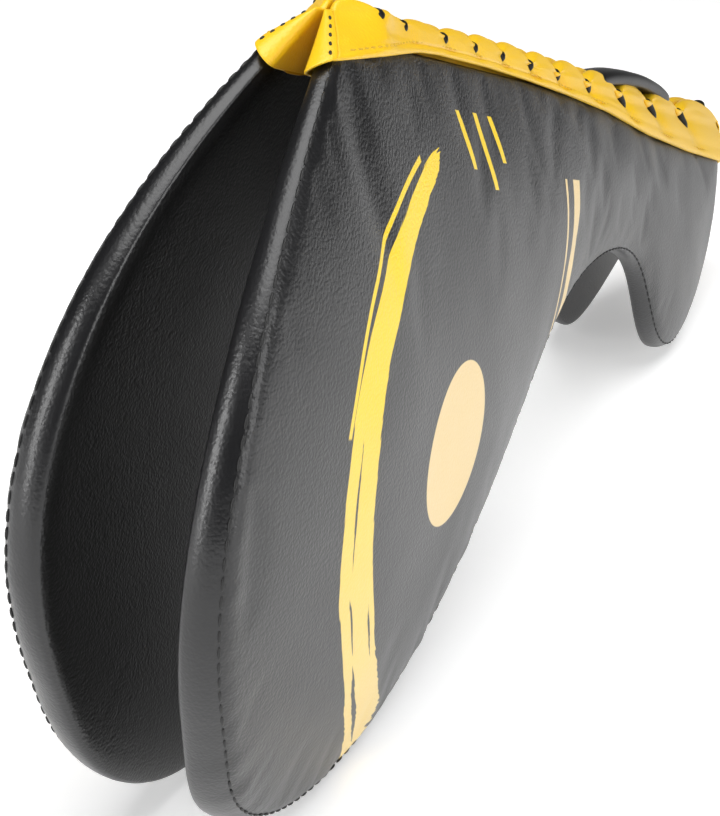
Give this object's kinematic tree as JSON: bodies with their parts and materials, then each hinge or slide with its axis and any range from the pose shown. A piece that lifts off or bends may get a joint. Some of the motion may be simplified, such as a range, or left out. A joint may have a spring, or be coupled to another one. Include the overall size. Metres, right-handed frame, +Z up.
{
  "type": "double clapper kick mitt",
  "caption": "Two cupped leather-covered foam paddles laced along a yellow spine, with a narrow hand grip and a low hand loop; the paddles clap together when they are hit.",
  "frame": {"origin": "centre of the bounding box, on the surface that the tips of the heads and handles stand on", "axes": "+X from the handle towards the heads, +Y towards the right paddle, +Z up; the spine slopes up towards +X"},
  "size_m": [0.403, 0.0506, 0.1619],
  "materials": {
    "black_leather": "grained synthetic leather, semi-gloss",
    "yellow_leather": "smooth synthetic leather, semi-matt",
    "foam": "closed-cell foam",
    "board": "plain thin sheet",
    "black_thread": "bonded nylon thread",
    "yellow_thread": "bonded nylon thread",
    "lace_cord": "round leather lace",
    "loop_strap": "smooth rolled strap, satin"
  },
  "bodies": {
    "spine": {"front_lace_knot": "lace_cord", "front_loop_anchor": "loop_strap", "hand_loop": "loop_strap", "lace": "lace_cord", "rear_lace_knot": "lace_cord", "rear_loop_anchor": "loop_strap"},
    "right_paddle": {"right_back_foam": "foam", "right_binding_stitches": "yellow_thread", "right_edge_band": "black_leather", "right_edge_seam": "black_thread", "right_front_cap": "yellow_leather", "right_inner_face": "black_leather", "right_outer_face": "black_leather", "right_rear_cap": "yellow_leather", "right_spine_binding": "yellow_leather", "right_stiffener_board": "board", "right_striking_foam": "foam"},
    "left_paddle": {"left_back_foam": "foam", "left_binding_stitches": "yellow_thread", "left_edge_band": "black_leather", "left_edge_seam": "black_thread", "left_front_cap": "yellow_leather", "left_inner_face": "black_leather", "left_outer_face": "black_leather", "left_rear_cap": "yellow_leather", "left_spine_binding": "yellow_leather", "left_stiffener_board": "board", "left_striking_foam": "foam"}
  },
  "joints": [
    {"name": "right_paddle_hinge", "type": "hinge", "parent": "spine", "child": "right_paddle", "pos_m": [-0.01385, 0, 0.11365], "axis": [0.9495, 0, 0.3139], "range_deg": [-2.3, 14], "stiffness_Nm_per_rad": 1.2},
    {"name": "left_paddle_hinge", "type": "hinge", "parent": "spine", "child": "left_paddle", "pos_m": [-0.01385, 0, 0.11365], "axis": [0.9495, 0, 0.3139], "range_deg": [-14, 2.3], "stiffness_Nm_per_rad": 1.2}
  ],
  "couplings": [
    {"joint": "left_paddle_hinge", "follows": "right_paddle_hinge", "ratio": -1}
  ]
}
